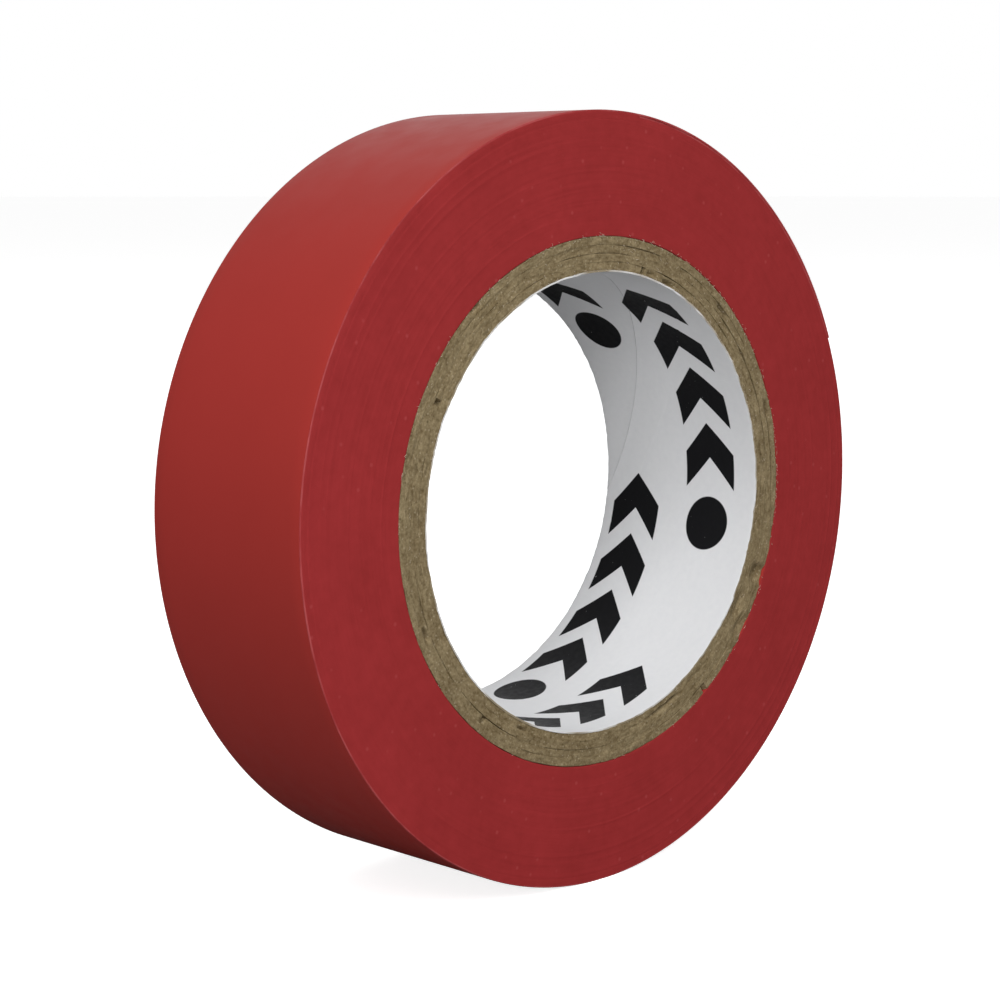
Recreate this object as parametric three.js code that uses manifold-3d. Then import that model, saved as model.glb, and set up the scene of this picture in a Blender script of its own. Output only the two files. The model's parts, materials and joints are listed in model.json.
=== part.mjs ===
// A roll of electrical tape standing on its rim.
// Millimetres, +Z up, +Y along the roll's axis, origin on the ground under the middle of the roll.
// Angles round the roll are measured from +X towards +Z.
import * as THREE from 'three';
import { mergeVertices } from 'three/addons/utils/BufferGeometryUtils.js';
import Module from 'manifold-3d';

const wasm = await Module();
wasm.setup();

// Tape: one long strip of soft vinyl film, wound on the core.
const TAPE_WIDTH = 18;
const TAPE_THICKNESS = 0.17;
const ROLL_RADIUS = 32.5;
const WINDING_INNER_RADIUS = 22.46;

// The free end is pressed onto the roll. The last stretch of the strip, from the peel line to
// the free end, is split into short segments, hinged where they meet.
const FREE_END_ANGLE = degrees(22.5);
const TAIL_SEGMENTS = 6;
const TAIL_SEGMENT_ANGLE = degrees(10);
const TAIL_ANGLE = TAIL_SEGMENTS * TAIL_SEGMENT_ANGLE;
const TAIL_GAP = 0.04;

// Core: a printed paper liner inside four plies of kraft card.
const CORE_WIDTH = 17.9;
const BORE_RADIUS = 19.5;
const LINER_THICKNESS = 0.16;
const PLY_NAMES = ['inner', 'second', 'third', 'outer'];
const PLY_THICKNESS = 0.65;
const GLUE_GAP = 0.04;

// Each ply is a band of card wound on a slant, so where its edges meet there is a seam,
// which crosses the core's width along a helix.
const SEAM_GAP = 0.16;
const SEAM_LEAN = degrees(-6);
const LINER_SEAM_ANGLE = degrees(47);
const FIRST_PLY_SEAM_ANGLE = degrees(22);
const SEAM_STAGGER = degrees(77);
const SEAM_STEPS = 18;

// The card is squeezed a little oval, wider than it is high, and the winding follows it.
const OVAL_AT_CORE = 0.35;
const OVAL_AT_RIM = 0.15;

// Every round surface has the same facets, with a flat one at the very bottom to rest on.
const FACETS = 72;
const FACET_ANGLE = 2 * Math.PI / FACETS;
const BOTTOM_ANGLE = -Math.PI / 2;

function degrees(value) {
  return value * Math.PI / 180;
}

// How far the roll's outline leaves a true circle at this radius and angle.
function ovalShift(radius, angle) {
  const depth = (radius - WINDING_INNER_RADIUS) / (ROLL_RADIUS - WINDING_INNER_RADIUS);
  const amount = THREE.MathUtils.lerp(OVAL_AT_CORE, OVAL_AT_RIM, THREE.MathUtils.clamp(depth, 0, 1));
  return amount * Math.cos(2 * angle);
}

function squeezeOval(geometry) {
  const position = geometry.attributes.position;
  for (let i = 0; i < position.count; i++) {
    const x = position.getX(i);
    const z = position.getZ(i);
    const radius = Math.hypot(x, z);
    const angle = Math.atan2(z, x);
    const squeezed = radius + ovalShift(radius, angle);
    position.setX(i, squeezed * Math.cos(angle));
    position.setZ(i, squeezed * Math.sin(angle));
  }
  return geometry;
}

// The strip's outer surface, by the angle travelled back from the free end: an even spiral.
function spiralRadius(travelled) {
  return ROLL_RADIUS - TAPE_THICKNESS * travelled / (2 * Math.PI);
}

function spiralPoint(travelled, depth) {
  const radius = spiralRadius(travelled) - depth;
  const angle = FREE_END_ANGLE + travelled;
  return new THREE.Vector2(radius * Math.cos(angle), radius * Math.sin(angle));
}

function spiralArc(from, to, depth) {
  const steps = Math.round(Math.abs(to - from) / FACET_ANGLE);
  const points = [];
  for (let i = 0; i <= steps; i++) {
    points.push(spiralPoint(THREE.MathUtils.lerp(from, to, i / steps), depth));
  }
  return points;
}

// Extrudes an outline drawn in X and Z across the tape's width.
function acrossWidth(shape) {
  const geometry = new THREE.ExtrudeGeometry(shape, { depth: TAPE_WIDTH, bevelEnabled: false });
  geometry.rotateX(Math.PI / 2);
  geometry.translate(0, TAPE_WIDTH / 2, 0);
  return squeezeOval(geometry);
}

// All the turns that stay on the roll, held together by their own adhesive. Under the tail
// the outline drops by the thickness of the strip.
function windingGeometry() {
  const underTail = spiralArc(0, TAIL_ANGLE, TAPE_THICKNESS + TAIL_GAP);
  const lastTurn = spiralArc(TAIL_ANGLE, 2 * Math.PI, 0);
  const shape = new THREE.Shape([...underTail, ...lastTurn]);
  const hole = [];
  for (let i = 0; i < FACETS; i++) {
    const angle = FREE_END_ANGLE - i * FACET_ANGLE;
    hole.push(new THREE.Vector2(Math.cos(angle), Math.sin(angle)).multiplyScalar(WINDING_INNER_RADIUS));
  }
  shape.holes.push(new THREE.Path(hole));
  return acrossWidth(shape);
}

// One short length of the free tail. Its ends leave half of the gap to each neighbour.
function tailSegmentGeometry(index) {
  const endGap = TAIL_GAP / 2 / ROLL_RADIUS;
  const rootSide = TAIL_ANGLE - index * TAIL_SEGMENT_ANGLE;
  const freeSide = rootSide - TAIL_SEGMENT_ANGLE;
  const outer = spiralArc(freeSide + endGap, rootSide - endGap, 0);
  const inner = spiralArc(rootSide - endGap, freeSide + endGap, TAPE_THICKNESS);
  return acrossWidth(new THREE.Shape([...outer, ...inner]));
}

function ringGeometry(innerRadius, thickness) {
  const outerRadius = innerRadius + thickness;
  const half = CORE_WIDTH / 2;
  const profile = [
    new THREE.Vector2(innerRadius, half),
    new THREE.Vector2(innerRadius, -half),
    new THREE.Vector2(outerRadius, -half),
    new THREE.Vector2(outerRadius, half),
    new THREE.Vector2(innerRadius, half),
  ];
  return new THREE.LatheGeometry(profile, FACETS, FACET_ANGLE / 2);
}

// A thin blade that stands on the core's surface and twists round it as it crosses the width.
function seamBladeGeometry(innerRadius, thickness, seamAngle) {
  const margin = 0.5;
  const blade = new THREE.BoxGeometry(
    thickness + 2 * margin, CORE_WIDTH + 2 * margin, SEAM_GAP, 1, SEAM_STEPS, 1);
  blade.translate(innerRadius + thickness / 2, 0, 0);
  const position = blade.attributes.position;
  const point = new THREE.Vector3();
  const axis = new THREE.Vector3(0, -1, 0);
  for (let i = 0; i < position.count; i++) {
    point.fromBufferAttribute(position, i);
    point.applyAxisAngle(axis, seamAngle + SEAM_LEAN * point.y);
    position.setXYZ(i, point.x, point.y, point.z);
  }
  return blade;
}

function toSolid(geometry) {
  const bare = geometry.clone();
  bare.deleteAttribute('normal');
  bare.deleteAttribute('uv');
  const merged = mergeVertices(bare);
  return new wasm.Manifold(new wasm.Mesh({
    numProp: 3,
    vertProperties: new Float32Array(merged.attributes.position.array),
    triVerts: new Uint32Array(merged.index.array),
  }));
}

function fromSolid(solid) {
  const mesh = solid.getMesh();
  const geometry = new THREE.BufferGeometry();
  geometry.setAttribute('position', new THREE.BufferAttribute(mesh.vertProperties, 3));
  geometry.setIndex(new THREE.BufferAttribute(mesh.triVerts, 1));
  geometry.computeVertexNormals();
  return geometry;
}

// A ring of the core, opened by its slanting seam into the single band that it is.
function seamedRingGeometry(innerRadius, thickness, seamAngle) {
  const ring = toSolid(ringGeometry(innerRadius, thickness));
  const blade = toSolid(seamBladeGeometry(innerRadius, thickness, seamAngle));
  return squeezeOval(fromSolid(ring.subtract(blade)));
}

function vinyl() {
  return new THREE.MeshStandardMaterial({ color: 0xb5282a, roughness: 0.42, metalness: 0 });
}

function kraftCard() {
  return new THREE.MeshStandardMaterial({ color: 0x87785a, roughness: 0.95, metalness: 0 });
}

function linerPaper() {
  return new THREE.MeshStandardMaterial({ color: 0xd9dadc, roughness: 0.7, metalness: 0 });
}

function addPart(group, name, geometry, material) {
  const mesh = new THREE.Mesh(geometry, material);
  mesh.name = name;
  group.add(mesh);
}

function makeCore() {
  const core = new THREE.Group();
  const linerGeometry = seamedRingGeometry(BORE_RADIUS, LINER_THICKNESS, LINER_SEAM_ANGLE);
  addPart(core, 'core_liner', linerGeometry, linerPaper());
  let radius = BORE_RADIUS + LINER_THICKNESS + GLUE_GAP;
  PLY_NAMES.forEach((name, index) => {
    const seamAngle = FIRST_PLY_SEAM_ANGLE + index * SEAM_STAGGER;
    const geometry = seamedRingGeometry(radius, PLY_THICKNESS, seamAngle);
    addPart(core, `core_ply_${name}`, geometry, kraftCard());
    radius += PLY_THICKNESS + GLUE_GAP;
  });
  return core;
}

function makeTape() {
  const tape = new THREE.Group();
  addPart(tape, 'tape_winding', windingGeometry(), vinyl());
  for (let index = 0; index < TAIL_SEGMENTS; index++) {
    addPart(tape, `tape_tail_${index + 1}`, tailSegmentGeometry(index), vinyl());
  }
  return tape;
}

// Height of the roll's axis: the distance down to the lower edge of the bottom facet.
function axisHeight() {
  const corner = BOTTOM_ANGLE - FACET_ANGLE / 2;
  const travelled = THREE.MathUtils.euclideanModulo(corner - FREE_END_ANGLE, 2 * Math.PI);
  const radius = spiralRadius(travelled);
  return (radius + ovalShift(radius, corner)) * -Math.sin(corner);
}

const roll = new THREE.Group();
roll.position.z = axisHeight();
roll.add(makeCore(), makeTape());

export default roll;
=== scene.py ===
import json
import math

import bpy
import numpy as np
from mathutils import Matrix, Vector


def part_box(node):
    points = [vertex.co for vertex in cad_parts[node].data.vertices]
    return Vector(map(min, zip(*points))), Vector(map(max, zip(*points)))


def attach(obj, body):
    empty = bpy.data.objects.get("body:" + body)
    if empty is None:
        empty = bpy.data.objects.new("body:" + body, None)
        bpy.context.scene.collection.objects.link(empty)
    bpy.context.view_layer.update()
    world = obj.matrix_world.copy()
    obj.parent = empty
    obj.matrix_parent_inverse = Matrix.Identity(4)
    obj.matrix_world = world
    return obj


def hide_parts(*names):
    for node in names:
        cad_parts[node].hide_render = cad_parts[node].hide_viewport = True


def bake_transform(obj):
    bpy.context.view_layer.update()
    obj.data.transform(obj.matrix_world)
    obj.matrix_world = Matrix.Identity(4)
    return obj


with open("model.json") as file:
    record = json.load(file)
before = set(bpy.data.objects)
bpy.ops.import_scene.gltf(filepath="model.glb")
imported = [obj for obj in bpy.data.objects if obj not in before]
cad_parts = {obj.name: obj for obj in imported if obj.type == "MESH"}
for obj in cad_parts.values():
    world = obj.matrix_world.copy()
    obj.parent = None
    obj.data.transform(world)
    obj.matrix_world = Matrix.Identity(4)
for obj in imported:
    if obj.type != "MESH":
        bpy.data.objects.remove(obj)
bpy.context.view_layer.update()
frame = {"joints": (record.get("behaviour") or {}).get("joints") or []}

# A roll of tape that stands on its rim. Its axis lies along Y, and angles round it are in radians,
# from +X towards +Z. The front is towards -Y. Sizes are in metres.
MM = 0.001
PLY_NODES = ["core_ply_inner", "core_ply_second", "core_ply_third", "core_ply_outer"]
TAIL_NODES = [f"tape_tail_{number}" for number in range(1, 7)]
TAPE_THICKNESS = 0.17 * MM
LINER_THICKNESS = 0.16 * MM
GLUE_GAP = 0.04 * MM
OVAL_AT_RIM = 0.15 * MM
FRAME_FACETS = 72


def box_size(node):
    low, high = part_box(node)
    return [high[axis] - low[axis] for axis in range(3)]


def ring_radius(node):
    """Mean outer radius of a slightly oval ring that has FRAME_FACETS flat sides in the frame."""
    size = box_size(node)
    return (size[0] + size[2]) / 4 / math.cos(math.pi / FRAME_FACETS)


def ring_oval(node):
    """How much wider than its mean radius a ring is, which is also how much lower it is."""
    size = box_size(node)
    return (size[0] - size[2]) / 4


def joint_angle(joint):
    x, _, z = joint["pos_m"]
    return math.atan2(z - AXIS_HEIGHT, x)


# Sizes from the frame, from the bore outward.
liner_low, liner_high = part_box("core_liner")
AXIS_HEIGHT = (liner_low[2] + liner_high[2]) / 2
TAPE_WIDTH = box_size("tape_winding")[1]
CORE_WIDTH = box_size("core_liner")[1]
OVAL_AT_CORE = ring_oval("core_liner")
LINER_OUTER = ring_radius("core_liner")
LINER_INNER = LINER_OUTER - LINER_THICKNESS
PLY_OUTER = [ring_radius(node) for node in PLY_NODES]
PLY_INNER = [radius + GLUE_GAP / 10 for radius in [LINER_OUTER] + PLY_OUTER[:-1]]
WINDING_INNER = PLY_OUTER[-1] + GLUE_GAP

# The free tail ends at FREE_END_ANGLE and leaves the roll at PEEL_ANGLE, the first of its hinges.
tail_joints = [joint for joint in frame["joints"] if joint["name"].startswith("tail_")]
HINGE_ANGLES = [joint_angle(joint) for joint in tail_joints]
SEGMENT_ANGLE = HINGE_ANGLES[0] - HINGE_ANGLES[1]
PEEL_ANGLE = HINGE_ANGLES[0]
FREE_END_ANGLE = HINGE_ANGLES[-1] - SEGMENT_ANGLE
TAIL_ANGLE = PEEL_ANGLE - FREE_END_ANGLE

# The peel line lies on the strip's outer surface, so the roll's radius follows from it.
peel_x, _, peel_z = tail_joints[0]["pos_m"]
ROLL_RADIUS = (math.hypot(peel_x, peel_z - AXIS_HEIGHT)
               - OVAL_AT_RIM * math.cos(2 * PEEL_ANGLE)
               + TAPE_THICKNESS * TAIL_ANGLE / (2 * math.pi))


def oval_shift(radius, angle):
    depth = np.clip((radius - WINDING_INNER) / (ROLL_RADIUS - WINDING_INNER), 0, 1)
    return (OVAL_AT_CORE + (OVAL_AT_RIM - OVAL_AT_CORE) * depth) * np.cos(2 * angle)


def on_roll(radius, angle, y):
    """Points from their radius, angle and place across the width."""
    squeezed = radius + oval_shift(radius, angle)
    return np.stack([squeezed * np.cos(angle), y, squeezed * np.sin(angle) + AXIS_HEIGHT], axis=-1)


def spiral_radius(travelled):
    """Outer surface of the strip, by the angle travelled back from the free end."""
    return ROLL_RADIUS - TAPE_THICKNESS * travelled / (2 * math.pi)


# Mesh building ---------------------------------------------------------------------------------

# Where the points of a rounded corner lie, in shares of its radius.
CORNER_SHARES = [0.0, 0.3, 0.62, 1.0]


def add_object(name, data):
    added = bpy.data.objects.new(name, data)
    bpy.context.scene.collection.objects.link(added)
    return added


def box_lattice(counts, ring):
    """Surface of a block of cells: each vertex's lattice place, the quads, and each quad's side.

    A side is named by its axis and end, as in "v0". In a ring the last u joins the first.
    """
    nu, nv, nw = counts

    def key(i, j, k):
        return ((i % nu if ring else i) * (nv + 1) + j) * (nw + 1) + k

    loops, sides = [], []
    for fixed in (1, 2) if ring else (0, 1, 2):
        across = [axis for axis in range(3) if axis != fixed]
        p, q = np.meshgrid(*[np.arange(counts[axis]) for axis in across], indexing="ij")
        for end in (0, 1):
            corners = []
            for dp, dq in ((0, 0), (1, 0), (1, 1), (0, 1)):
                index = [None, None, None]
                index[fixed] = np.full(p.shape, counts[fixed] * end)
                index[across[0]] = p + dp
                index[across[1]] = q + dq
                corners.append(key(*index))
            loop = np.stack(corners, axis=-1).reshape(-1, 4)
            faces_back = (end == 0) != (fixed == 1)
            loops.append(loop[:, ::-1] if faces_back else loop)
            sides += ["uvw"[fixed] + str(end)] * len(loop)
    keys, quads = np.unique(np.concatenate(loops), return_inverse=True)
    places = np.stack([keys // ((nv + 1) * (nw + 1)), keys // (nw + 1) % (nv + 1), keys % (nw + 1)])
    return places, quads.reshape(-1, 4), sides


def signed_volume(points, quads):
    """Six times the volume inside a closed mesh, below zero where its faces point in."""
    a, b, c, d = (points[quads[:, corner]] for corner in range(4))
    return np.sum(np.einsum("ij,ij->i", a, np.cross(b, c)) + np.einsum("ij,ij->i", a, np.cross(c, d)))


def build_mesh(name, points, faces, face_materials, materials, uv=None, sharp_angle=40):
    mesh = bpy.data.meshes.new(name)
    mesh.from_pydata(points.tolist(), [], faces)
    for material in materials:
        mesh.materials.append(material)
    mesh.polygons.foreach_set("material_index", face_materials)
    mesh.polygons.foreach_set("use_smooth", [True] * len(mesh.polygons))
    if uv is not None:
        layer = mesh.uv_layers.new(name="strip")
        corner_vertices = np.empty(len(mesh.loops), int)
        mesh.loops.foreach_get("vertex_index", corner_vertices)
        layer.data.foreach_set("uv", uv[corner_vertices].ravel())
    mesh.set_sharp_from_angle(angle=math.radians(sharp_angle))
    mesh.validate()
    return add_object(name, mesh)


def build_block(
        name, counts, ring, place, materials, side_materials, with_uv=False, edge_from=None, rim_from=None):
    """A closed mesh from a lattice block. place turns lattice places into points, and uv if asked.

    Beyond edge_from from the middle of the width, every face gets the second material. Of those, the
    faces from lattice row rim_from outward get the third.
    """
    places, quads, sides = box_lattice(counts, ring)
    placed = place(*places)
    points, uv = placed if with_uv else (placed, None)
    if signed_volume(points, quads) < 0:
        quads = quads[:, ::-1]
    face_materials = np.array([side_materials.get(side, 0) for side in sides])
    if edge_from is not None:
        middles = np.abs(points[quads][:, :, 1].mean(axis=1))
        face_materials = np.where(middles > edge_from, 1, face_materials)
    if rim_from is not None:
        outermost = places[2][quads].min(axis=1) >= rim_from
        face_materials = np.where((face_materials == 1) & outermost, 2, face_materials)
    return build_mesh(name, points, quads.tolist(), face_materials.tolist(), materials, uv)


def round_corners(r, y, r_low, r_high, half_width, corner):
    """Moves the points near the corners of a section in radius and y onto corner arcs."""
    r_core = np.clip(r, r_low + corner, r_high - corner)
    y_core = np.clip(y, corner - half_width, half_width - corner)
    dr, dy = r - r_core, y - y_core
    length = np.maximum(np.hypot(dr, dy), 1e-12)
    return r_core + corner * dr / length, y_core + corner * dy / length


def corner_stations(low, high, corner, inner):
    """Places from low to high, closer together in the rounded corners at both ends."""
    steps = np.array(CORNER_SHARES) * corner
    return np.concatenate([low + steps, inner, (high - steps)[::-1]])


def even_stations(low, high, corner, count):
    return corner_stations(low, high, corner, np.linspace(low + corner, high - corner, count + 2)[1:-1])


def value_noise(x, y, cells_round, seed):
    """Smooth noise from -1 to 1 on a unit lattice, repeating every cells_round cells along x."""
    rows = int(math.ceil(float(np.max(y)))) + 3
    table = np.random.default_rng(seed).uniform(-1, 1, (cells_round, rows))
    x0 = np.floor(x).astype(int)
    y0 = np.clip(np.floor(y).astype(int), 0, rows - 2)
    fx, fy = x - x0, np.clip(y - y0, 0, 1)
    fx, fy = fx * fx * (3 - 2 * fx), fy * fy * (3 - 2 * fy)
    left, right = x0 % cells_round, (x0 + 1) % cells_round
    low = table[left, y0] * (1 - fx) + table[right, y0] * fx
    high = table[left, y0 + 1] * (1 - fx) + table[right, y0 + 1] * fx
    return low * (1 - fy) + high * fy


def ring_noise(angle, cells_round, seed, across=0.0, cell_across=1.0):
    """Noise round a ring: cells_round cells in a full turn, each cell_across wide the other way."""
    return value_noise(angle / (2 * math.pi) * cells_round, across / cell_across, cells_round, seed)


def arc_gap(angle, centre):
    """Signed difference between two angles, the short way round."""
    return (angle - centre + math.pi) % (2 * math.pi) - math.pi


def bell(distance, half_width):
    """1 at no distance, falling smoothly to almost nothing at twice the half width."""
    return np.exp(-(distance / half_width) ** 2)


def near_end(y, reach):
    """0 until reach from either end of the core, then rising to 1 at the end."""
    return np.clip((np.abs(y) - CORE_WIDTH / 2 + reach) / reach, 0, 1)


# Materials -------------------------------------------------------------------------------------

# Each pair of colours is the two ends of a mottled surface's range.
FILM_COLOURS = [(0.380, 0.0375, 0.0310, 1), (0.408, 0.0405, 0.0340, 1)]
EDGE_COLOURS = [(0.252, 0.0205, 0.0212, 1), (0.300, 0.0255, 0.0268, 1)]
EDGE_FLECK = (0.38, 0.058, 0.060, 1)
# A paler red painted in patches on the cut edges at the rim: a painted highlight.
EDGE_HIGHLIGHT = (0.37, 0.066, 0.068, 1)
ADHESIVE_COLOURS = [(0.30, 0.024, 0.020, 1), (0.36, 0.031, 0.026, 1)]
CARD_COLOURS = [(0.125, 0.089, 0.043, 1), (0.275, 0.217, 0.124, 1)]
CARD_PALE_FLECK = (0.36, 0.30, 0.20, 1)
CARD_DARK_FLECK = (0.075, 0.052, 0.024, 1)
PAPER_COLOURS = [(0.69, 0.695, 0.71, 1), (0.75, 0.752, 0.76, 1)]
PAPER_STAIN = (0.26, 0.21, 0.13, 1)
INK_COLOUR = (0.006, 0.006, 0.007, 1)
FIBRE_COLOURS = [(0.38, 0.30, 0.21, 1), (0.72, 0.64, 0.52, 1)]

# How strongly a painted highlight, a paler red in patches, is laid on the cut edges at the rim.
RIM_HIGHLIGHT = 0.9

# The print on the liner: in each row, three marks round of one disc and four chevrons. MARK_PITCH is
# the angle from one mark to the next, and offsets are along the liner, from the start of a mark. A
# row has its place in y and the angle it starts at.
MARK_HEIGHT = 5.6 * MM
MARK_PITCH = 2 * math.pi / 3
DISC_RADIUS = 2.4 * MM
DISC_OFFSET = 2.7 * MM
CHEVRON_OFFSET = 8.6 * MM
CHEVRON_COUNT = 4
CHEVRON_PITCH = 5.6 * MM
CHEVRON_INK = 3.2 * MM
CHEVRON_SLOPE = 1.0
INK_BLUR = 0.04 * MM
PRINT_ROWS = [(-3.7 * MM, math.radians(-20)), (5.1 * MM, math.radians(-85))]


class Shader:
    """A short way to write a material's nodes. Scales are in cells to the metre."""

    def __init__(self, name):
        self.material = bpy.data.materials.new(name)
        self.material.use_nodes = True
        self.tree = self.material.node_tree
        self.surface = self.tree.nodes["Principled BSDF"]

    def plug(self, socket, value):
        if isinstance(value, bpy.types.NodeSocket):
            self.tree.links.new(value, socket)
        else:
            socket.default_value = value

    def math(self, operation, *values):
        node = self.tree.nodes.new("ShaderNodeMath")
        node.operation = operation
        for socket, value in zip(node.inputs, values):
            self.plug(socket, value)
        return node.outputs[0]

    def multiply(self, a, b):
        return self.math("MULTIPLY", a, b)

    def subtract(self, a, b):
        return self.math("SUBTRACT", a, b)

    def weighted(self, *terms):
        """Sum of values, each times its weight."""
        products = [self.multiply(value, weight) for value, weight in terms]
        total = products[0]
        for product in products[1:]:
            total = self.math("ADD", total, product)
        return total

    def hypotenuse(self, a, b):
        return self.math("SQRT", self.math("ADD", self.multiply(a, a), self.multiply(b, b)))

    def combine(self, x, y, z):
        node = self.tree.nodes.new("ShaderNodeCombineXYZ")
        for socket, value in zip(node.inputs, (x, y, z)):
            self.plug(socket, value)
        return node.outputs[0]

    def separate(self, vector):
        node = self.tree.nodes.new("ShaderNodeSeparateXYZ")
        self.plug(node.inputs[0], vector)
        return node.outputs

    def object_point(self):
        return self.tree.nodes.new("ShaderNodeTexCoord").outputs["Object"]

    def strip_point(self):
        """Place along and across a strip, from its uv, so that the surface bends with the strip."""
        node = self.tree.nodes.new("ShaderNodeUVMap")
        node.uv_map = "strip"
        return node.outputs[0]

    def ring_point(self, outward, round_about):
        """A point whose scale outward from the roll's axis differs from its scale round it."""
        x, _, z = self.separate(self.object_point())
        up = self.subtract(z, AXIS_HEIGHT)
        return self.combine(
            self.multiply(self.hypotenuse(x, up), outward),
            self.multiply(x, round_about),
            self.multiply(up, round_about))

    def turns_point(self):
        """Changes quickly from turn to turn and slowly along a turn."""
        return self.ring_point(3800, 150)

    def noise(self, point, scale, detail=2.0, roughness=0.5):
        node = self.tree.nodes.new("ShaderNodeTexNoise")
        self.plug(node.inputs["Vector"], point)
        node.inputs["Scale"].default_value = scale
        node.inputs["Detail"].default_value = detail
        node.inputs["Roughness"].default_value = roughness
        return node.outputs["Fac"]

    def spots(self, point, scale):
        """Distance to the nearest of a scatter of points."""
        node = self.tree.nodes.new("ShaderNodeTexVoronoi")
        self.plug(node.inputs["Vector"], point)
        node.inputs["Scale"].default_value = scale
        return node.outputs["Distance"]

    def remap(self, value, from_low, from_high, to_low, to_high):
        node = self.tree.nodes.new("ShaderNodeMapRange")
        for socket, number in zip(node.inputs, (value, from_low, from_high, to_low, to_high)):
            self.plug(socket, number)
        return node.outputs[0]

    def rise(self, value, low, high):
        """0 below low, 1 above high."""
        return self.remap(value, low, high, 0, 1)

    def fall(self, value, low, high):
        """1 below low, 0 above high."""
        return self.remap(value, low, high, 1, 0)

    def mix(self, factor, a, b):
        node = self.tree.nodes.new("ShaderNodeMix")
        node.data_type = "RGBA"
        self.plug(node.inputs["Factor"], factor)
        self.plug(node.inputs[6], a)
        self.plug(node.inputs[7], b)
        return node.outputs[2]

    def bump(self, height, distance, strength):
        node = self.tree.nodes.new("ShaderNodeBump")
        self.plug(node.inputs["Height"], height)
        node.inputs["Distance"].default_value = distance
        node.inputs["Strength"].default_value = strength
        return node.outputs[0]

    def finish(self, colour, roughness, specular, normal=None):
        self.plug(self.surface.inputs["Base Color"], colour)
        self.plug(self.surface.inputs["Roughness"], roughness)
        self.plug(self.surface.inputs["Specular IOR Level"], specular)
        if normal is not None:
            self.plug(self.surface.inputs["Normal"], normal)
        return self.material


def film_material(name, point_of):
    """Outer side of the vinyl film: smooth and satin, with a faint calender grain."""
    shader = Shader(name)
    point = point_of(shader)
    patches = shader.noise(point, 160, 3)
    grain = shader.noise(point, 2600, 2)
    colour = shader.mix(patches, *FILM_COLOURS)
    roughness = shader.remap(shader.noise(point, 420, 3), 0.3, 0.7, 0.36, 0.44)
    return shader.finish(colour, roughness, 0.07, shader.bump(grain, 0.004 * MM, 0.5))


def edge_material(name, point_of, turns_point_of, wear_and_highlight=0.0):
    """The cut edges of all the turns: matte and mottled, with faint rings where turns differ, and if asked
    a painted highlight.
    """
    shader = Shader(name)
    point = point_of(shader)
    mottle = shader.noise(point, 900, 4, 0.6)
    patches = shader.noise(point, 190, 2)
    streaks = shader.noise(turns_point_of(shader), 1, 3, 0.6)
    tone = shader.weighted((mottle, 0.45), (streaks, 0.22), (patches, 0.33))
    colour = shader.mix(shader.rise(tone, 0.36, 0.64), *EDGE_COLOURS)
    flecks = shader.remap(shader.spots(point, 620), 0.05, 0.13, 0.5, 0)
    colour = shader.mix(flecks, colour, EDGE_FLECK)
    # A paler red painted in patches: a painted highlight along the rim.
    if wear_and_highlight:
        rim_highlight = shader.remap(shader.noise(point, 330, 3), 0.40, 0.60, 0.25 * wear_and_highlight, wear_and_highlight)
        colour = shader.mix(rim_highlight, colour, EDGE_HIGHLIGHT)
    height = shader.weighted((streaks, 0.7), (mottle, 0.5))
    return shader.finish(colour, 0.62, 0.1, shader.bump(height, 0.012 * MM, 0.6))


def adhesive_material():
    """Inner side of the strip: tacky adhesive, darker, glossier and slightly blotched."""
    shader = Shader("tape_adhesive")
    blotches = shader.noise(shader.strip_point(), 700, 3)
    colour = shader.mix(blotches, *ADHESIVE_COLOURS)
    roughness = shader.remap(blotches, 0.3, 0.7, 0.26, 0.42)
    return shader.finish(colour, roughness, 0.22, shader.bump(blotches, 0.012 * MM, 0.5))


def card_material():
    """Cut kraft card: fibres running round the ring, pale and dark flecks."""
    shader = Shader("kraft_card")
    point = shader.object_point()
    fibres = shader.noise(shader.ring_point(3000, 1300), 1, 3, 0.6)
    grain = shader.noise(point, 5200, 2, 0.6)
    clouds = shader.noise(point, 480, 3)
    tone = shader.weighted((fibres, 0.40), (grain, 0.38), (clouds, 0.22))
    colour = shader.mix(shader.rise(tone, 0.38, 0.63), *CARD_COLOURS)
    pale = shader.remap(shader.spots(point, 2300), 0.12, 0.24, 0.55, 0)
    colour = shader.mix(pale, colour, CARD_PALE_FLECK)
    dark = shader.remap(shader.spots(point, 1700), 0.10, 0.20, 0.55, 0)
    colour = shader.mix(dark, colour, CARD_DARK_FLECK)
    height = shader.math("ADD", fibres, grain)
    return shader.finish(colour, 0.95, 0.1, shader.bump(height, 0.05 * MM, 0.8))


def row_ink(shader, u, v):
    """1 where one row has ink. u is the place along a mark and v the place across the row."""
    disc_radius = shader.hypotenuse(shader.subtract(u, DISC_OFFSET), v)
    disc = shader.fall(disc_radius, DISC_RADIUS - INK_BLUR, DISC_RADIUS + INK_BLUR)
    aside = shader.math("ABSOLUTE", v)
    lean = shader.multiply(aside, CHEVRON_SLOPE)
    along = shader.math("ADD", shader.subtract(u, CHEVRON_OFFSET), lean)
    phase = shader.math("FLOORED_MODULO", along, CHEVRON_PITCH)
    all_chevrons = CHEVRON_COUNT * CHEVRON_PITCH
    limits = [
        shader.rise(phase, 0, INK_BLUR),
        shader.fall(phase, CHEVRON_INK - INK_BLUR, CHEVRON_INK + INK_BLUR),
        shader.rise(along, 0, INK_BLUR),
        shader.fall(along, all_chevrons - INK_BLUR, all_chevrons),
        shader.fall(aside, MARK_HEIGHT / 2 - INK_BLUR, MARK_HEIGHT / 2 + INK_BLUR),
    ]
    chevrons = 1.0
    for limit in limits:
        chevrons = shader.multiply(limit, chevrons)
    return shader.math("MAXIMUM", disc, chevrons)


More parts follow.
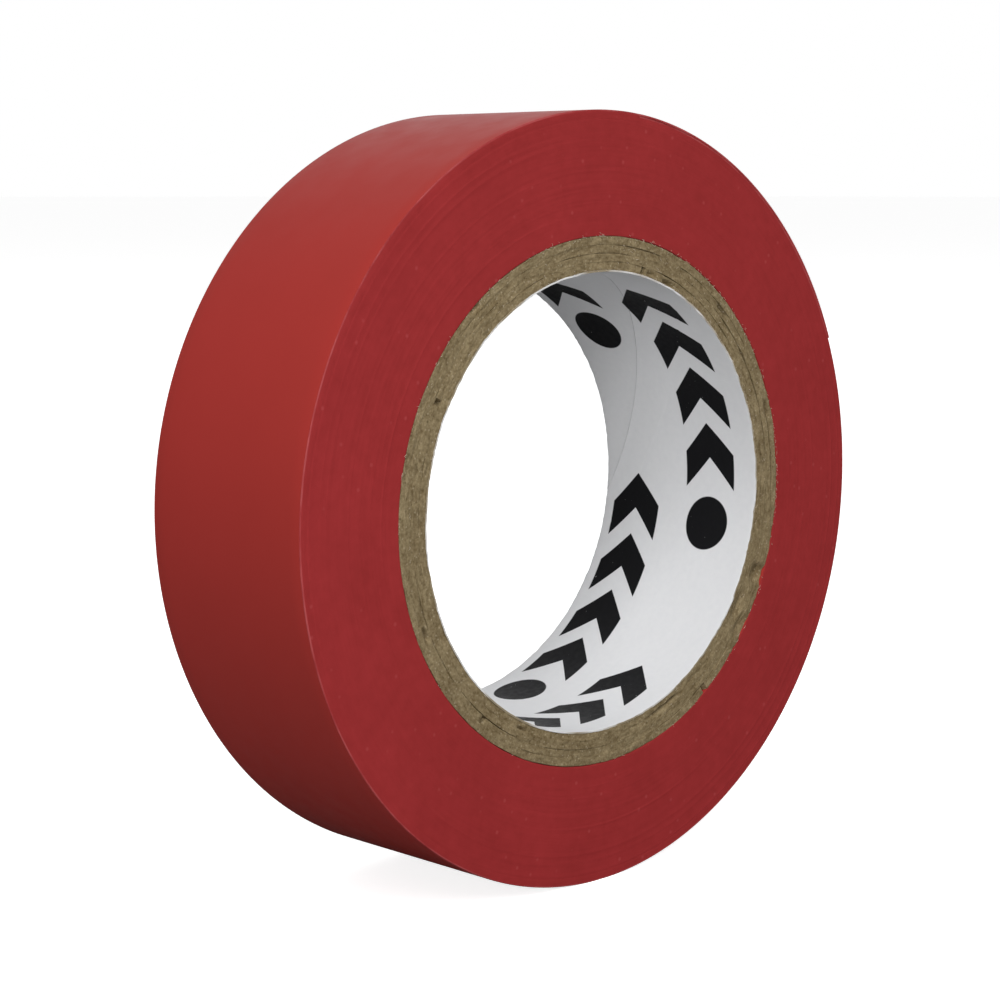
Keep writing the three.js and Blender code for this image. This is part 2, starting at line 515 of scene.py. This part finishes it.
def printed_mask(shader, along, across):
    """1 where there is ink. along is the arc length round the bore and across the place in y."""
    ink = 0.0
    for row_y, row_angle in PRINT_ROWS:
        from_start = shader.subtract(along, row_angle * LINER_INNER)
        u = shader.math("FLOORED_MODULO", from_start, MARK_PITCH * LINER_INNER)
        v = shader.subtract(across, row_y)
        ink = shader.math("MAXIMUM", row_ink(shader, u, v), ink)
    return ink


def liner_paper_material():
    """White coated paper with two rows of print, a little worn, and a cut edge that has stained."""
    shader = Shader("liner_paper")
    along, across, _ = shader.separate(shader.strip_point())
    point = shader.object_point()
    fibre = shader.noise(point, 1800, 3)
    paper = shader.mix(fibre, *PAPER_COLOURS)
    wear_and_highlight = shader.remap(shader.noise(point, 3600, 2), 0.74, 0.82, 0, 0.5)
    covered = shader.multiply(printed_mask(shader, along, across), shader.subtract(1.0, wear_and_highlight))
    colour = shader.mix(covered, paper, INK_COLOUR)
    half = CORE_WIDTH / 2
    cut_edge = shader.rise(shader.math("ABSOLUTE", across), half - 0.028 * MM, half - 0.004 * MM)
    stained = shader.remap(shader.noise(point, 260, 2), 0.42, 0.60, 1.0, 0.15)
    colour = shader.mix(shader.multiply(cut_edge, stained), colour, PAPER_STAIN)
    roughness = shader.remap(fibre, 0.3, 0.7, 0.48, 0.6)
    return shader.finish(colour, roughness, 0.15, shader.bump(fibre, 0.01 * MM, 0.6))


def fibre_material():
    """Single pale fibres of card and paper."""
    shader = Shader("loose_fibres")
    tint = shader.noise(shader.object_point(), 900, 2)
    return shader.finish(shader.mix(tint, *FIBRE_COLOURS), 0.9, 0.5)


# The winding -----------------------------------------------------------------------------------

RIM_CORNER = 0.06 * MM
STEP_ANGLE = math.radians(0.03)
RECESS_GAP = 0.015 * MM
UNDER_TAIL_STATIONS = 60
LAST_TURN_STATIONS = 294

# Turns that have points of their own, counted inward from the rim, and how many more the relief
# allows for between the last of them and the core.
TURNS_SHOWN = 57
SPARE_TURNS = 4

# The outermost turns over which the surface's two steps fade out inward.
EASE_TURNS = 6

# How the cut edges of the turns stand out of the roll's flat sides.
TURN_SPREAD = 0.0035 * MM
PROUD_SHARE = 0.16
PROUD_HEIGHT = 0.014 * MM
WAVE_HEIGHT = 0.014 * MM
WAVE_WIDTH = 3.0 * MM
WANDER_HEIGHT = 0.035 * MM
WANDER_TURNS = 4


def winding_angles():
    """Angles travelled back from the free end, close together at the two steps of the surface."""
    under_tail = np.linspace(STEP_ANGLE, TAIL_ANGLE - STEP_ANGLE, UNDER_TAIL_STATIONS)
    last_turn = np.linspace(TAIL_ANGLE + STEP_ANGLE, 2 * math.pi - STEP_ANGLE, LAST_TURN_STATIONS)
    return np.concatenate([under_tail, last_turn])


def winding_outer(travelled):
    """The winding's surface, which lies one strip lower under the tail."""
    step = TAPE_THICKNESS + RECESS_GAP
    return spiral_radius(travelled) - np.where(travelled < TAIL_ANGLE, step, 0)


def turn_relief(radius, angle):
    """How far each turn's cut edge stands out of the flat side of the roll."""
    rng = np.random.default_rng(41)
    turn_count = TURNS_SHOWN + SPARE_TURNS
    each_turn = rng.normal(0, TURN_SPREAD, turn_count)
    proud = rng.random(turn_count) < PROUD_SHARE
    inward = ROLL_RADIUS - radius
    turn = np.clip((inward / TAPE_THICKNESS).astype(int), 0, turn_count - 1)
    patchy = np.clip(ring_noise(angle, 9, seed=42, across=turn.astype(float)), 0, 1)
    waves = ring_noise(angle, 14, seed=43, across=radius, cell_across=WAVE_WIDTH)
    wander = ring_noise(angle, 23, seed=44) + ring_noise(angle, 61, seed=45) * 0.4
    last_turns = np.clip(1 - inward / (WANDER_TURNS * TAPE_THICKNESS), 0, 1)
    relief = each_turn[turn] + proud[turn] * patchy * PROUD_HEIGHT
    return relief + waves * WAVE_HEIGHT + wander * last_turns * WANDER_HEIGHT


def winding_radii():
    """Radii from the core to the rim, two in each turn, and closer in the rounded corners."""
    turns = np.arange(TURNS_SHOWN)[::-1]
    columns = ROLL_RADIUS - (turns[:, None] + np.array([0.75, 0.25])) * TAPE_THICKNESS
    columns = columns.ravel()
    clear = (columns > WINDING_INNER + 2 * RIM_CORNER) & (columns < ROLL_RADIUS - 1.3 * RIM_CORNER)
    return corner_stations(WINDING_INNER, ROLL_RADIUS, RIM_CORNER, columns[clear])


def make_winding(film, edges, rim):
    """The wound turns as one closed body, with a spiral surface and uneven cut edges."""
    travelled = winding_angles()
    radii = winding_radii()
    half = TAPE_WIDTH / 2
    across = even_stations(-half, half, RIM_CORNER, 12)
    ease_depth = EASE_TURNS * TAPE_THICKNESS
    ease = np.clip((radii - (ROLL_RADIUS - ease_depth)) / (ease_depth - 3 * RIM_CORNER), 0, 1)

    def place(i, j, k):
        outer = winding_outer(travelled)[i]
        angle = FREE_END_ANGLE + travelled[i]
        radius = radii[k] - (ROLL_RADIUS - outer) * ease[k]
        r, y = round_corners(radius, across[j], WINDING_INNER, outer, half, RIM_CORNER)
        on_side = (j == 0) | (j == len(across) - 1)
        fade = np.clip((outer - radius) / (2 * RIM_CORNER), 0, 1)
        facing = np.where(y < 0, angle, -angle)
        relief = np.sign(y) * turn_relief(radii[k], facing) * fade
        return on_roll(r, angle, y + np.where(on_side, relief, 0))

    counts = (len(travelled), len(across) - 1, len(radii) - 1)
    piece = build_block(
        "tape_winding_fine", counts, True, place, [film, edges, rim], {"v0": 1, "v1": 1},
        edge_from=half - RIM_CORNER, rim_from=len(radii) - len(CORNER_SHARES) - 1)
    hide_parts("tape_winding")
    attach(piece, "roll")


# The free tail ---------------------------------------------------------------------------------

TAIL_CORNER = 0.03 * MM
TAIL_STEPS = 48
LAST_TAIL_STEPS = 72
LIFT_LENGTH = 5.0 * MM
LIFT_HEIGHT = 0.35 * MM
END_WOBBLE = 0.04 * MM

# Borders between the pieces of the tail, in segments past the peel line. Past the sharp bend at the
# peel line, neighbours meet halfway between two hinges.
TAIL_BORDERS = [0, 0.22, 1.5, 2.5, 3.5, 4.5, 6]


def tail_lift(from_end, y):
    """The back corner of the free end has come a little unstuck."""
    near_free_end = np.clip(1 - from_end / LIFT_LENGTH, 0, 1) ** 2
    to_back = np.clip((y + TAPE_WIDTH / 3) / (TAPE_WIDTH * 5 / 6), 0, 1)
    return LIFT_HEIGHT * near_free_end * to_back * to_back * (3 - 2 * to_back)


def end_wobble(travelled, y):
    """The cut across the free end isn't quite straight. Nothing else moves."""
    wobble = ring_noise(y * 40, 7, seed=51, across=y + TAPE_WIDTH / 2, cell_across=1.5 * MM)
    at_free_end = travelled < 1e-9
    return np.where(at_free_end, wobble * END_WOBBLE / ROLL_RADIUS, 0)


def make_tail_piece(number, film, edges, adhesive):
    """One piece of the strip, from one of its borders to the next."""
    start = TAIL_ANGLE - TAIL_BORDERS[number] * SEGMENT_ANGLE
    end = TAIL_ANGLE - TAIL_BORDERS[number + 1] * SEGMENT_ANGLE
    steps = LAST_TAIL_STEPS if number == len(TAIL_NODES) - 1 else TAIL_STEPS
    half = TAPE_WIDTH / 2
    across = even_stations(-half, half, TAIL_CORNER, 14)
    thick = np.array([0.0, 0.12, 0.5, 0.88, 1.0])

    def place(i, j, k):
        travelled = start + (end - start) * i / steps
        travelled = travelled + end_wobble(travelled, across[j])
        outer = spiral_radius(travelled)
        inner = outer - TAPE_THICKNESS
        radius = inner + TAPE_THICKNESS * thick[k]
        r, y = round_corners(radius, across[j], inner, outer, half, TAIL_CORNER)
        r = r + tail_lift(travelled * ROLL_RADIUS, y)
        uv = np.stack([travelled * ROLL_RADIUS, y], axis=-1)
        return on_roll(r, FREE_END_ANGLE + travelled, y), uv

    def middle(travelled):
        return on_roll(spiral_radius(travelled), FREE_END_ANGLE + travelled, 0.0)

    counts = (steps, len(across) - 1, len(thick) - 1)
    name = f"tape_tail_{number + 1}_fine"
    piece = build_block(
        name, counts, False, place, [film, edges, adhesive], {"w0": 2}, with_uv=True,
        edge_from=half - TAIL_CORNER)
    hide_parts(TAIL_NODES[number])
    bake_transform(piece)


# The core --------------------------------------------------------------------------------------

# Seams of the spirally wound strips: each one's angle at the middle of the width, and their lean.
SEAM_LEAN = math.radians(-6) / MM
LINER_SEAM = math.radians(47)
PLY_SEAMS = [math.radians(22 + 77 * index) for index in range(len(PLY_NODES))]
PLY_SEAM_DEPTH = 0.7 * MM
PLY_SEAM_HALF_WIDTH = 0.16 * MM

# The cut ends of the card.
PLY_STEPS = 720
CARD_CORNER = 0.025 * MM
CLUMP_HEIGHT = 0.045 * MM
THREAD_HEIGHT = 0.035 * MM
PLY_STAND_OUT = 0.03 * MM
PLY_WAVE = 0.03 * MM
PLY_END_REACH = 1.0 * MM
SPLIT_REACH = 0.35 * MM

# The back end has the front end's dents and splits, mirrored, turned by BACK_TURN and shallower.
BACK_TURN = 2.1
BACK_DENTS = 0.7

# Dents in the front end of the card: angle in degrees, then radius, length round, height outward
# and depth in millimetres.
DENTS = [
    (-22, 21.7, 0.8, 0.8, 0.55),
    (-31, 20.7, 1.4, 0.5, 0.35),
    (-35, 21.9, 0.9, 0.5, 0.30),
    (-67, 20.4, 1.5, 0.16, 0.45),
    (66, 19.9, 0.7, 0.18, 0.40),
    (73, 19.95, 0.5, 0.15, 0.30),
    (131, 22.4, 0.5, 0.4, 0.50),
    (-157, 21.4, 0.5, 0.16, 0.45),
    (17, 21.9, 0.7, 0.14, 0.35),
    (46, 21.6, 0.8, 0.12, 0.30),
    (-118, 20.2, 0.6, 0.12, 0.25),
]

# Where plies have come apart at the end: number of the inner ply, middle and half length in
# degrees, and gap in millimetres.
SPLITS = [
    (1, 30, 27, 0.15),
    (1, -9, 9, 0.11),
    (2, 4, 13, 0.08),
    (2, -52, 7, 0.06),
    (0, 66, 6, 0.10),
    (1, -66, 5, 0.07),
]

# The liner: the lift of its edges at the seam, the crease where it lies over the inner ply's seam,
# the ripple of the paper, how far it is pressed outward onto the card, and the fray of its cut
# ends, which stand slightly proud of the frame's liner.
LINER_STEPS = 480
LINER_CORNER = 0.03 * MM
LINER_SEAM_GAP = 0.10 * MM
LINER_LIFT = 0.04 * MM
LINER_LIFT_REACH = 0.8 * MM
LINER_CREASE = 0.035 * MM
LINER_CREASE_HALF_WIDTH = 0.18 * MM
LINER_CREASE_LEAN = SEAM_LEAN * 0.78
LINER_RIPPLE = 0.016 * MM
LINER_OUTWARD = 0.02 * MM
LINER_FRAY = 0.035 * MM
LINER_PROUD = 0.01 * MM
LINER_END_REACH = 0.5 * MM


def card_relief(radius, angle, seed):
    """Height of the rough cut card above its flat end, without the dents."""
    clumps = ring_noise(angle, 110, seed, across=radius, cell_across=0.55 * MM) * CLUMP_HEIGHT
    threads = ring_noise(angle, 330, seed + 1, across=radius, cell_across=0.16 * MM) * THREAD_HEIGHT
    return clumps + threads


def dent_depth(radius, angle):
    """Depth of the dents in the front end of the card."""
    depth = np.zeros_like(radius)
    for degrees, centre, length, height, deep in DENTS:
        along = arc_gap(angle, math.radians(degrees)) * radius / (length * MM)
        out = (radius - centre * MM) / (height * MM)
        depth = np.maximum(depth, deep * MM * np.exp(-along ** 4 - out ** 2))
    return depth


def split_shift(number, radius, angle, inner, outer):
    """How far the edges of a ply draw back from its neighbours at the end of the core."""
    shift = np.zeros_like(radius)
    for inner_ply, middle, half_length, gap in SPLITS:
        along = arc_gap(angle, math.radians(middle)) / math.radians(half_length)
        ragged = 0.7 + 0.5 * ring_noise(angle, 190, seed=57)
        width = gap * MM / 2 * np.exp(-along ** 6) * ragged
        if number == inner_ply:
            shift = shift - width * np.clip(1 - (outer - radius) / SPLIT_REACH, 0, 1)
        if number == inner_ply + 1:
            shift = shift + width * np.clip(1 - (radius - inner) / SPLIT_REACH, 0, 1)
    return shift


def make_ply(number, card):
    """One ring of card. Its ends are rough, dented, split from its neighbours and cut by a seam."""
    inner, outer = PLY_INNER[number], PLY_OUTER[number]
    half = CORE_WIDTH / 2
    by_end = np.array([-half + 0.4 * MM, -half + 1.1 * MM])
    across = corner_stations(-half, half, CARD_CORNER, np.concatenate([by_end, [0.0], -by_end[::-1]]))
    radii = even_stations(inner, outer, CARD_CORNER, 5)
    stands_out = np.random.default_rng(60 + number).normal(0, PLY_STAND_OUT)

    def place(i, j, k):
        angle = 2 * math.pi * i / PLY_STEPS
        r, y = round_corners(radii[k], across[j], inner, outer, half, CARD_CORNER)
        side = np.sign(y)
        at_front = side < 0
        facing = np.where(at_front, angle, -angle - BACK_TURN)
        seam = arc_gap(angle, PLY_SEAMS[number] + SEAM_LEAN * y) * r
        raised = card_relief(r, angle, seed=70 + 10 * number) + stands_out
        raised = raised - PLY_SEAM_DEPTH * bell(seam, PLY_SEAM_HALF_WIDTH)
        raised = raised - dent_depth(r, facing) * np.where(at_front, 1, BACK_DENTS)
        wave = ring_noise(angle, 60, seed=90 + number, across=number * MM, cell_across=MM) * PLY_WAVE
        opened = split_shift(number, r, facing, inner, outer)
        in_corner = len(CORNER_SHARES) - 1
        on_side = (j <= in_corner) | (j >= len(across) - 1 - in_corner)
        r = r + (wave + opened) * near_end(y, PLY_END_REACH)
        return on_roll(r, angle, y + np.where(on_side, side * raised, 0))

    counts = (PLY_STEPS, len(across) - 1, len(radii) - 1)
    piece = build_block(f"{PLY_NODES[number]}_fine", counts, True, place, [card], {})
    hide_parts(PLY_NODES[number])
    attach(piece, "roll")


def make_liner(paper, card):
    """The liner runs from its seam right round to its seam again, where its edges lift a little."""
    half = CORE_WIDTH / 2
    across = even_stations(-half, half, LINER_CORNER, 34)
    thick = np.array([0.0, 0.5, 1.0])
    seam_gap = LINER_SEAM_GAP / LINER_OUTER

    def place(i, j, k):
        share = i / LINER_STEPS
        radius = LINER_INNER + LINER_THICKNESS * thick[k]
        r, y = round_corners(radius, across[j], LINER_INNER, LINER_OUTER, half, LINER_CORNER)
        angle = LINER_SEAM + SEAM_LEAN * y + seam_gap / 2 + (2 * math.pi - seam_gap) * share
        from_seam = np.minimum(share, 1 - share) * 2 * math.pi * LINER_OUTER
        lift = LINER_LIFT * bell(from_seam, LINER_LIFT_REACH)
        from_ply_seam = arc_gap(angle, PLY_SEAMS[0] + LINER_CREASE_LEAN * y) * LINER_OUTER
        crease = LINER_CREASE * bell(from_ply_seam, LINER_CREASE_HALF_WIDTH)
        ripple = ring_noise(angle, 26, seed=83, across=y + half, cell_across=5.0 * MM) * LINER_RIPPLE
        r = r - lift + crease - np.abs(ripple) + LINER_OUTWARD
        uv = np.stack([angle * LINER_INNER, y], axis=-1)
        fray = ring_noise(angle, 420, seed=81, across=half) + ring_noise(angle, 150, seed=82, across=half)
        y = y + np.sign(y) * near_end(y, LINER_END_REACH) * (fray * LINER_FRAY + LINER_PROUD)
        return on_roll(r, angle, y), uv

    counts = (LINER_STEPS, len(across) - 1, len(thick) - 1)
    piece = build_block("core_liner_fine", counts, False, place, [paper, card], {"w1": 1}, with_uv=True)
    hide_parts("core_liner")
    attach(piece, "roll")


# Loose fibres ----------------------------------------------------------------------------------

# Where fibres stand on each end of the core: mean radius, its spread in millimetres, and how many.
FIBRE_SITES = [
    (WINDING_INNER, 0.10, 230),
    (LINER_OUTER, 0.06, 90),
    ((LINER_OUTER + WINDING_INNER) / 2, 0.8, 70),
]
FIBRE_LINKS = 5
FIBRE_CORNERS = 4
FIBRE_ROOT_RADIUS = 0.016 * MM
FIBRE_TAPER = 0.010 * MM

# Fibres crowd round this angle, with this spread.
FIBRE_ANGLE = math.radians(55)
FIBRE_SPREAD = 1.1


def fibre_line(rng, radius, angle, side):
    """Points down the middle of one loose fibre on an end of the core, and its tapering radii."""
    length = rng.uniform(0.12, 0.45) * MM
    heading = rng.uniform(0, 2 * math.pi)
    curl = rng.uniform(-1.2, 1.2)
    rise = rng.uniform(0.03, 0.14) * MM
    points, radii = [], []
    along, out = 0.0, 0.0
    for link in range(FIBRE_LINKS + 1):
        share = link / FIBRE_LINKS
        height = rise * math.sin(math.pi * (0.15 + 0.75 * share)) - 0.02 * MM
        y = side * (CORE_WIDTH / 2 + height)
        points.append(on_roll(radius + out, angle + along / radius, y))
        radii.append(FIBRE_ROOT_RADIUS - FIBRE_TAPER * share)
        heading += curl / FIBRE_LINKS
        along += math.cos(heading) * length / FIBRE_LINKS
        out += math.sin(heading) * length / FIBRE_LINKS * 0.6
    return np.array(points), radii


def fibre_points(line, radii):
    """Rings of points round a fibre's middle line."""
    points = []
    for index, (centre, size) in enumerate(zip(line, radii)):
        ahead = line[min(index + 1, len(line) - 1)] - line[max(index - 1, 0)]
        sideways = np.cross(ahead, (0.3, 0.9, 0.3))
        sideways = sideways / np.linalg.norm(sideways)
        upward = np.cross(sideways, ahead / np.linalg.norm(ahead))
        for corner in range(FIBRE_CORNERS):
            turn = 2 * math.pi * corner / FIBRE_CORNERS
            points.append(centre + size * (math.cos(turn) * sideways + math.sin(turn) * upward))
    return points


def fibre_faces(first):
    """The sides and two ends of a fibre whose points are numbered from first."""
    last = first + FIBRE_LINKS * FIBRE_CORNERS
    corners = range(FIBRE_CORNERS)
    faces = []
    for ring in range(first, last, FIBRE_CORNERS):
        for corner in corners:
            a = ring + corner
            b = ring + (corner + 1) % FIBRE_CORNERS
            faces.append([a, b, b + FIBRE_CORNERS, a + FIBRE_CORNERS])
    faces.append([first + corner for corner in reversed(corners)])
    faces.append([last + corner for corner in corners])
    return faces


def make_fibres(material):
    """Loose fibres of torn card and paper round both ends of the core."""
    rng = np.random.default_rng(29)
    points, faces = [], []
    for side in (-1, 1):
        for site_radius, spread, count in FIBRE_SITES:
            for _ in range(count):
                radius = site_radius + rng.normal(0, spread) * MM
                angle = rng.normal(FIBRE_ANGLE, FIBRE_SPREAD)
                line, radii = fibre_line(rng, radius, angle, side)
                faces += fibre_faces(len(points))
                points += fibre_points(line, radii)
    piece = build_mesh("core_fibres", np.array(points), faces, [0] * len(faces), [material])
    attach(piece, "roll")


# Studio ----------------------------------------------------------------------------------------

# The camera looks at the roll from the front left, a little above its axis.
CAMERA_PLACE = (-139.79 * MM, -139.72 * MM, AXIS_HEIGHT + 25.59 * MM)
CAMERA_PITCH = math.radians(90 - 7.54)
CAMERA_HEADING = math.radians(-44.35)
CAMERA_LENS = 83.52

# Soft lights: name, place, the point it faces, width and height, and power in watts.
ROLL_MIDDLE = (0, 0, AXIS_HEIGHT)
AREA_LIGHTS = [
    ("top_light", (-0.20, -0.55, 0.85), ROLL_MIDDLE, (0.5, 0.5), 5.0),
    ("left_light", (-0.77, -0.47, 0.15), ROLL_MIDDLE, (0.5, 0.5), 4.2),
    ("right_light", (0.35, -0.90, 0.35), ROLL_MIDDLE, (0.5, 0.5), 2.4),
    ("side_light", (0.93, 0.22, 0.10), ROLL_MIDDLE, (0.3, 0.14), 2.4),
    ("near_light", (-0.09, -0.11, 0.096), (-0.015, 0, AXIS_HEIGHT), (0.05, 0.05), 0.062),
]
BORE_LIGHT_PLACE = (-0.5 * MM, 0, AXIS_HEIGHT + 4.2 * MM)
BORE_LIGHT_RADIUS = 6 * MM
BORE_LIGHT_POWER = 0.0010

# The studio is dim but for one broad bright side, whose strength rises as directions near its middle.
BRIGHT_SIDE = (0.62, 0.74, 0.26)
BRIGHT_SIDE_RANGE = (0.6, 1.0)
STUDIO_STRENGTHS = (0.10, 0.90)

# The floor looks white, and yet sends only a little light up to the roll.
FLOOR_REACH = 30.0
FLOOR_SEEN = (0.92, 0.92, 0.92, 1)
FLOOR_BOUNCE = (0.17, 0.17, 0.17, 1)
FLOOR_GLOW = 0.80


def make_camera():
    camera = bpy.data.cameras.new("camera")
    camera.sensor_width = 36
    camera.lens = CAMERA_LENS
    camera.clip_start = 0.01
    camera.clip_end = 100
    holder = add_object("camera", camera)
    holder.location = CAMERA_PLACE
    holder.rotation_euler = (CAMERA_PITCH, 0, CAMERA_HEADING)
    bpy.context.scene.camera = holder


def add_area_light(name, place, aim, size, power):
    light = bpy.data.lights.new(name, "AREA")
    light.shape = "RECTANGLE"
    light.size, light.size_y = size
    light.energy = power
    holder = add_object(name, light)
    holder.location = place
    away = np.array(place) - np.array(aim)
    flat = math.hypot(away[0], away[1])
    holder.rotation_euler = (math.atan2(flat, away[2]), 0, math.atan2(away[0], -away[1]))


def make_lights():
    for light in AREA_LIGHTS:
        add_area_light(*light)
    lamp = bpy.data.lights.new("bore_light", "POINT")
    lamp.shadow_soft_size = BORE_LIGHT_RADIUS
    lamp.energy = BORE_LIGHT_POWER
    add_object("bore_light", lamp).location = BORE_LIGHT_PLACE


def make_world():
    """A dim studio with one broad bright side behind the roll, and a white backdrop."""
    world = bpy.data.worlds.new("studio")
    bpy.context.scene.world = world
    world.use_nodes = True
    nodes, links = world.node_tree.nodes, world.node_tree.links
    background = nodes["Background"]
    background.inputs["Color"].default_value = (1, 1, 1, 1)
    facing = nodes.new("ShaderNodeVectorMath")
    facing.operation = "DOT_PRODUCT"
    links.new(nodes.new("ShaderNodeTexCoord").outputs["Generated"], facing.inputs[0])
    facing.inputs[1].default_value = BRIGHT_SIDE
    strength = nodes.new("ShaderNodeMapRange")
    for socket, value in zip(strength.inputs[1:5], BRIGHT_SIDE_RANGE + STUDIO_STRENGTHS):
        socket.default_value = value
    links.new(facing.outputs["Value"], strength.inputs[0])
    path = nodes.new("ShaderNodeLightPath")
    seen = nodes.new("ShaderNodeMath")
    seen.operation = "MAXIMUM"
    links.new(strength.outputs[0], seen.inputs[0])
    links.new(path.outputs["Is Camera Ray"], seen.inputs[1])
    links.new(seen.outputs[0], background.inputs["Strength"])


def floor_material():
    """White to the camera. To every other ray it is darker, and it doesn't glow."""
    shader = Shader("floor_paper")
    path = shader.tree.nodes.new("ShaderNodeLightPath")
    to_camera = path.outputs["Is Camera Ray"]
    shader.plug(shader.surface.inputs["Emission Color"], (1, 1, 1, 1))
    shader.plug(shader.surface.inputs["Emission Strength"], shader.multiply(to_camera, FLOOR_GLOW))
    return shader.finish(shader.mix(to_camera, FLOOR_BOUNCE, FLOOR_SEEN), 0.9, 0.0)


def make_floor():
    """A plain pale floor, which runs out of sight."""
    mesh = bpy.data.meshes.new("floor")
    signs = [(-1, -1), (1, -1), (1, 1), (-1, 1)]
    corners = [(x * FLOOR_REACH, y * FLOOR_REACH, 0) for x, y in signs]
    mesh.from_pydata(corners, [], [(0, 1, 2, 3)])
    mesh.materials.append(floor_material())
    floor = add_object("floor", mesh)


bpy.context.scene.view_settings.view_transform = "Standard"
make_camera()
make_world()
make_lights()
make_floor()

roll_film = film_material("vinyl_film", Shader.object_point)
tail_film = film_material("vinyl_film_tail", Shader.strip_point)
roll_edges = edge_material("tape_edges", Shader.object_point, Shader.turns_point)
# The edges at the roll's rim and the tail's edges carry the painted highlight.
roll_rim = edge_material("tape_rim", Shader.object_point, Shader.turns_point, RIM_HIGHLIGHT)
tail_edges = edge_material("tape_edges_tail", Shader.strip_point, Shader.strip_point, RIM_HIGHLIGHT)
adhesive = adhesive_material()
card = card_material()
paper = liner_paper_material()

make_winding(roll_film, roll_edges, roll_rim)
for tail_number in range(len(TAIL_NODES)):
    make_tail_piece(tail_number, tail_film, tail_edges, adhesive)
for ply_number in range(len(PLY_NODES)):
    make_ply(ply_number, card)
make_liner(paper, card)
make_fibres(fibre_material())
